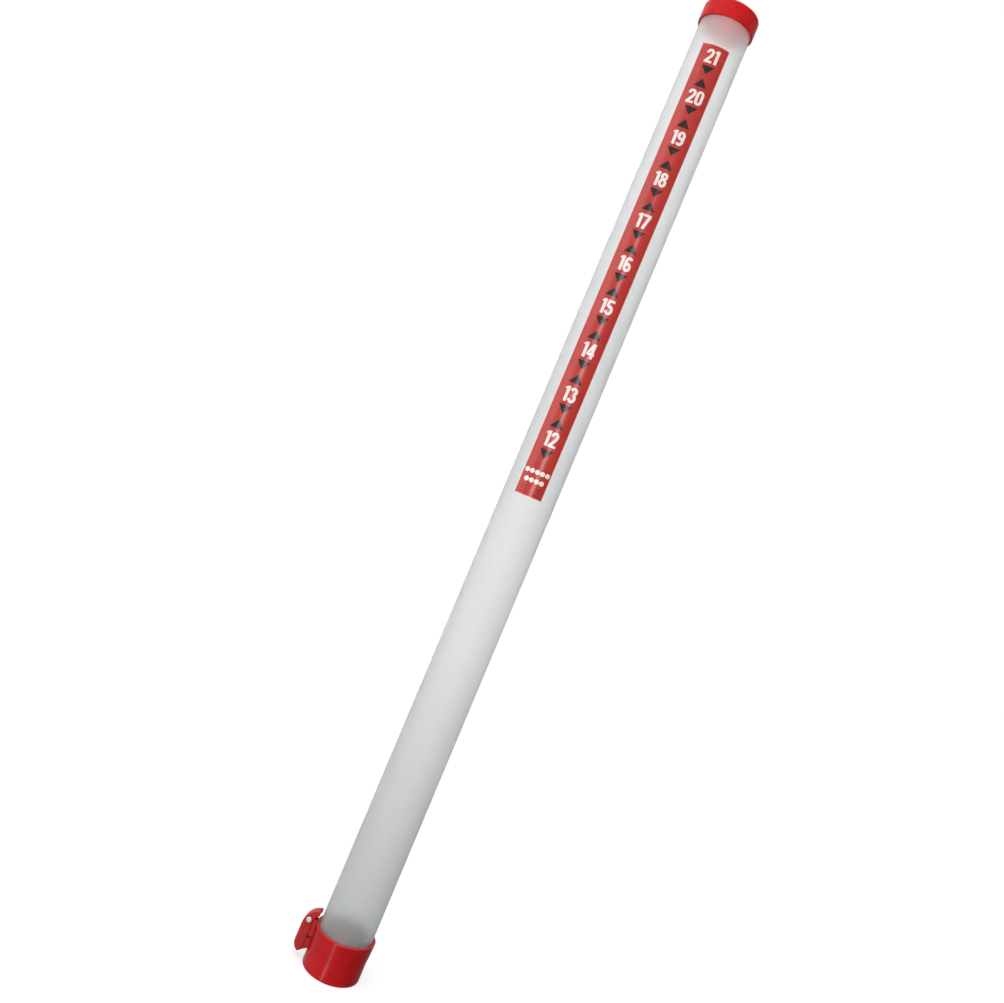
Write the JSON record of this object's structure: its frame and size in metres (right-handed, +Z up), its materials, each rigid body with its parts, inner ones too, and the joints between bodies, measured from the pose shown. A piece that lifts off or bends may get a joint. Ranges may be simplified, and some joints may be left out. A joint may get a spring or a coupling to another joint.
{
  "type": "golf ball collecting tube",
  "caption": "Hand-held golf ball pick-up tube: milky plastic tube with push-on cap, numbered scale label and a collar whose sprung catch lever keeps the balls in.",
  "frame": {"origin": "centre of the collar's flat foot, on the tube's axis", "axes": "+Z up along the tube towards the cap; the scale label faces -Y and the catch lever is on the -X side"},
  "size_m": [0.0696, 0.0574, 0.968],
  "materials": {
    "tube_plastic": "milky translucent extruded polypropylene, satin",
    "red_plastic": "glossy moulded red plastic",
    "zinc_steel": "zinc plated, lightly brushed",
    "spring_steel": "drawn spring wire",
    "label_vinyl": "printed gloss vinyl label, red with white numbers and black triangles"
  },
  "bodies": {
    "barrel": {"tube": "tube_plastic", "collar": "red_plastic", "scale_label": "label_vinyl"},
    "cap": {"top_cap": "red_plastic"},
    "lever": {"catch_lever": "red_plastic", "pivot_screw": "zinc_steel", "pivot_nut": "zinc_steel", "return_spring": "spring_steel"}
  },
  "joints": [
    {"name": "lever_swing", "type": "hinge", "parent": "barrel", "child": "lever", "pos_m": [-0.0356, 0, 0.0352], "axis": [0, 1, 0], "range_deg": [0, 14], "stiffness_Nm_per_rad": 0.1, "springref_deg": -74.48},
    {"name": "cap_pull", "type": "slide", "parent": "barrel", "child": "cap", "axis": [0, 0, 1], "range_m": [0, 0.025]}
  ]
}
